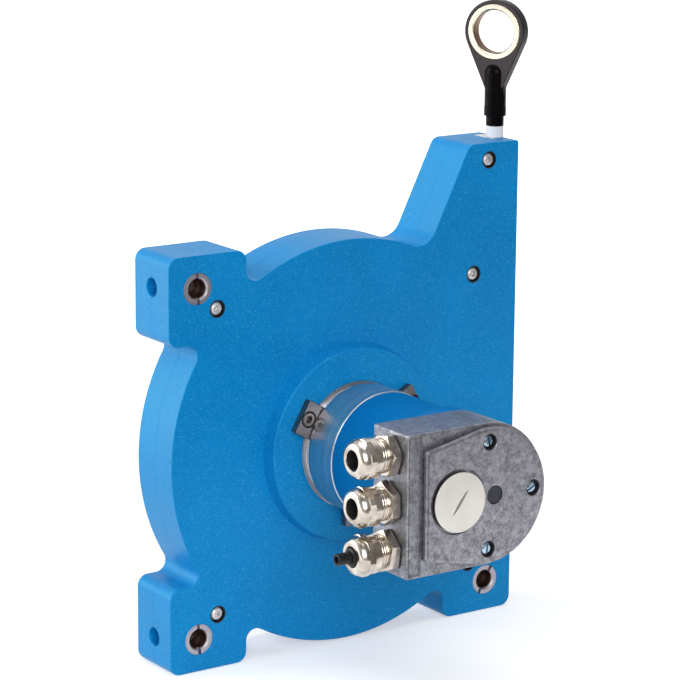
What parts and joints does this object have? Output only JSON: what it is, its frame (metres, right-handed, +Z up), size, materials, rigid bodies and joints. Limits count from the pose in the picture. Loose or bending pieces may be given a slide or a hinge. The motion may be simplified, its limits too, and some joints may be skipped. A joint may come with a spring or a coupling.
{
  "type": "draw wire encoder",
  "caption": "Draw wire encoder: flat round wire drum housing with corner lugs and an outlet tower, swivel eye on the wire, round encoder with cable glands on its front.",
  "frame": {"origin": "centre of the rear mounting face, on the drum axis", "axes": "+Z up along the measuring wire, +X to the right along the housing seen from the front, +Y to the rear, out of the mounting face"},
  "size_m": [0.1953, 0.1368, 0.2905],
  "materials": {
    "housing_blue": "satin moulded plastic",
    "insert_steel": "turned steel",
    "screw_steel": "zinc-plated steel",
    "guide_white": "smooth plastic",
    "ceramic": "polished ceramic",
    "bearing_steel": "ground steel",
    "drum_aluminium": "turned aluminium",
    "spring_steel": "tempered steel strip",
    "wire_steel": "stranded stainless steel",
    "bumper_white": "soft white plastic",
    "eye_black": "satin black",
    "eye_brass": "turned brass",
    "flange_aluminium": "turned, bright",
    "clamp_metal": "pressed, bright",
    "encoder_blue": "satin coat",
    "encoder_shaft_steel": "ground steel",
    "disc_glass": "clear glass",
    "board_green": "coated circuit board",
    "adapter_grey": "die-cast metal, mottled satin",
    "gasket_black": "soft rubber",
    "cap_screw_zinc": "bluish zinc plate",
    "plug_nickel": "light nickel plate",
    "lens_dark": "dark clear plastic",
    "gland_nickel": "nickel-plated brass",
    "pin_black": "black plastic"
  },
  "bodies": {
    "housing": {"front_shell": "housing_blue", "rear_shell": "housing_blue", "mounting_sleeve_upper_left": "insert_steel", "mounting_sleeve_lower_left": "insert_steel", "mounting_sleeve_lower_right": "insert_steel", "housing_screws": "screw_steel", "wire_guide": "guide_white", "guide_bush": "ceramic", "drum_bearing_rear": "bearing_steel", "drum_bearing_front": "bearing_steel", "spring_arbor": "drum_aluminium", "spiral_spring": "spring_steel", "wire_lead": "wire_steel", "encoder_flange": "flange_aluminium", "servo_clamp_1": "clamp_metal", "servo_clamp_2": "clamp_metal", "servo_clamp_3": "clamp_metal", "clamp_screws": "screw_steel", "encoder_sleeve": "encoder_blue", "encoder_bearing_rear": "bearing_steel", "encoder_bearing_front": "bearing_steel", "sensor_board": "board_green", "main_board": "board_green", "board_spacers": "screw_steel", "adapter_block": "adapter_grey", "cap_posts": "adapter_grey", "cap_gasket": "gasket_black", "adapter_cap": "adapter_grey", "status_lens": "lens_dark", "cap_screws": "cap_screw_zinc", "plug_ring": "gasket_black", "gland_body_1": "gland_nickel", "gland_body_2": "gland_nickel", "gland_body_3": "gland_nickel", "gland_seal_1": "gasket_black", "gland_seal_2": "gasket_black", "gland_seal_3": "gasket_black", "gland_rings": "gasket_black", "blanking_pin": "pin_black"},
    "drum": {"wire_drum": "drum_aluminium", "drum_shaft": "drum_aluminium", "hub_screws": "screw_steel", "spring_cover": "drum_aluminium", "wound_wire": "wire_steel", "encoder_shaft": "encoder_shaft_steel", "code_disc": "disc_glass"},
    "wire_end": {"wire_run": "wire_steel", "bumper": "bumper_white", "ferrule": "eye_black"},
    "eye": {"eye_head": "eye_black", "eye_bush": "eye_brass"},
    "plug": {"access_plug": "plug_nickel"},
    "nut_1": {"gland_nut_1": "gland_nickel"},
    "nut_2": {"gland_nut_2": "gland_nickel"},
    "nut_3": {"gland_nut_3": "gland_nickel"}
  },
  "joints": [
    {"name": "drum_spin", "type": "hinge", "parent": "housing", "child": "drum", "pos_m": [0, -0.0165, 0], "axis": [0, -1, 0], "range_deg": [0, 6660], "stiffness_Nm_per_rad": 0.0037, "springref_deg": -13292.62},
    {"name": "wire_pull", "type": "slide", "parent": "housing", "child": "wire_end", "axis": [0, 0, 1], "range_m": [0, 10], "deforming": ["wire_run"]},
    {"name": "eye_swivel", "type": "hinge", "parent": "wire_end", "child": "eye", "pos_m": [0.0902, -0.0165, 0.1415], "axis": [0, 0, 1], "continuous": true},
    {"name": "plug_turn", "type": "hinge", "parent": "housing", "child": "plug", "pos_m": [-0.0165, -0.1341, 0], "axis": [0, -1, 0], "range_deg": [0, 720]},
    {"name": "nut_turn_1", "type": "hinge", "parent": "housing", "child": "nut_1", "pos_m": [-0.055, -0.11965, 0.021], "axis": [-1, 0, 0], "range_deg": [0, 720]},
    {"name": "nut_turn_2", "type": "hinge", "parent": "housing", "child": "nut_2", "pos_m": [-0.055, -0.11965, 0], "axis": [-1, 0, 0], "range_deg": [0, 720]},
    {"name": "nut_turn_3", "type": "hinge", "parent": "housing", "child": "nut_3", "pos_m": [-0.055, -0.11965, -0.021], "axis": [-1, 0, 0], "range_deg": [0, 720]}
  ],
  "couplings": [
    {"joint": "wire_pull", "follows": "drum_spin", "m_per_rad": 0.08595}
  ]
}
